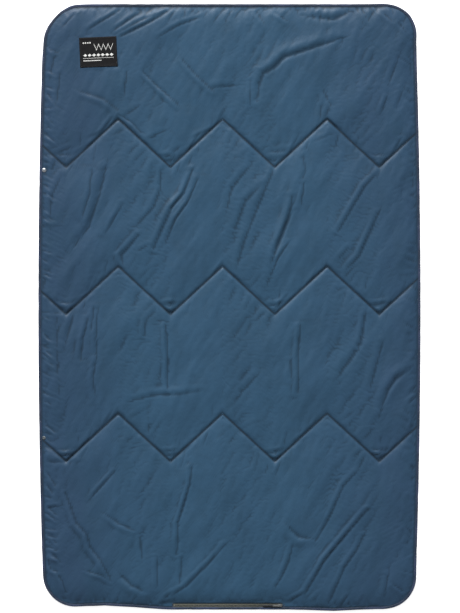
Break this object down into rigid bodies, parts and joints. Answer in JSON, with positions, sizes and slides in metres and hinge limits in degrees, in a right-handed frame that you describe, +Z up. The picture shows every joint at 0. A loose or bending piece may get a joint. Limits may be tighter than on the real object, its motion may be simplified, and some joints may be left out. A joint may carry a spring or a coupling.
{
  "type": "camp blanket",
  "caption": "Quilted camp blanket lying flat: zigzag-quilted, bound hem, woven label, zipped stuff pocket in the lower hem and two press snaps on one side.",
  "frame": {"origin": "middle of the footprint, on the floor the blanket lies on", "axes": "+Y along the length towards the label end, +X to the right seen from above, +Z up through the face cloth"},
  "size_m": [1.136, 1.8, 0.0148],
  "materials": {
    "face_cloth": "plain-woven light nylon, slight sheen",
    "back_cloth": "plain-woven light nylon, slight sheen",
    "filling": "bonded synthetic fibre sheet",
    "binding_tape": "folded woven tape",
    "thread": "twisted polyester thread",
    "label_ground": "dense woven label",
    "label_weave": null,
    "label_thread": "black thread",
    "pocket_cloth": "light woven lining",
    "zip_tape": "herringbone-woven zip tape, olive",
    "zip_coil": "nylon coil, olive",
    "zip_metal": "satin zinc",
    "ribbon": "narrow grosgrain ribbon",
    "snap_bright": "polished nickel plate",
    "spring_steel": "drawn spring wire",
    "snap_dark": "gunmetal plate",
    "backing_film": "clear-grey reinforcing disc"
  },
  "bodies": {
    "blanket": {"face_fabric": "face_cloth", "back_fabric": "back_cloth", "insulation_batt": "filling", "edge_binding": "binding_tape", "binding_stitching": "thread", "quilting_upper": "thread", "quilting_middle": "thread", "quilting_lower": "thread", "label_patch": "label_ground", "label_motif": "label_weave", "label_stitching": "label_thread", "pocket_front_panel": "pocket_cloth", "pocket_back_panel": "pocket_cloth", "pocket_stitching": "thread", "zip_tape_upper": "zip_tape", "zip_tape_lower": "zip_tape", "zip_coil_upper": "zip_coil", "zip_coil_lower": "zip_coil", "zip_stop_open_end": "zip_metal", "zip_stop_closed_end": "zip_metal", "zip_stitching": "thread", "zip_bar_tacks": "thread", "snap_cap": "snap_bright", "snap_socket": "snap_bright", "socket_spring": "spring_steel", "snap_stud": "snap_dark", "snap_post": "snap_dark", "snap_backing_upper": "backing_film", "snap_backing_lower": "backing_film"},
    "slider": {"zip_slider": "zip_metal"},
    "pull": {"zip_pull": "zip_metal", "pull_ribbon": "ribbon"}
  },
  "joints": [
    {"name": "slider_travel", "type": "slide", "parent": "blanket", "child": "slider", "axis": [-1, 0, 0], "range_m": [0, 0.304]},
    {"name": "pull_swing", "type": "hinge", "parent": "slider", "child": "pull", "pos_m": [0.1489, -0.887, 0.009], "axis": [0, 1, 0], "range_deg": [0, 180]}
  ]
}
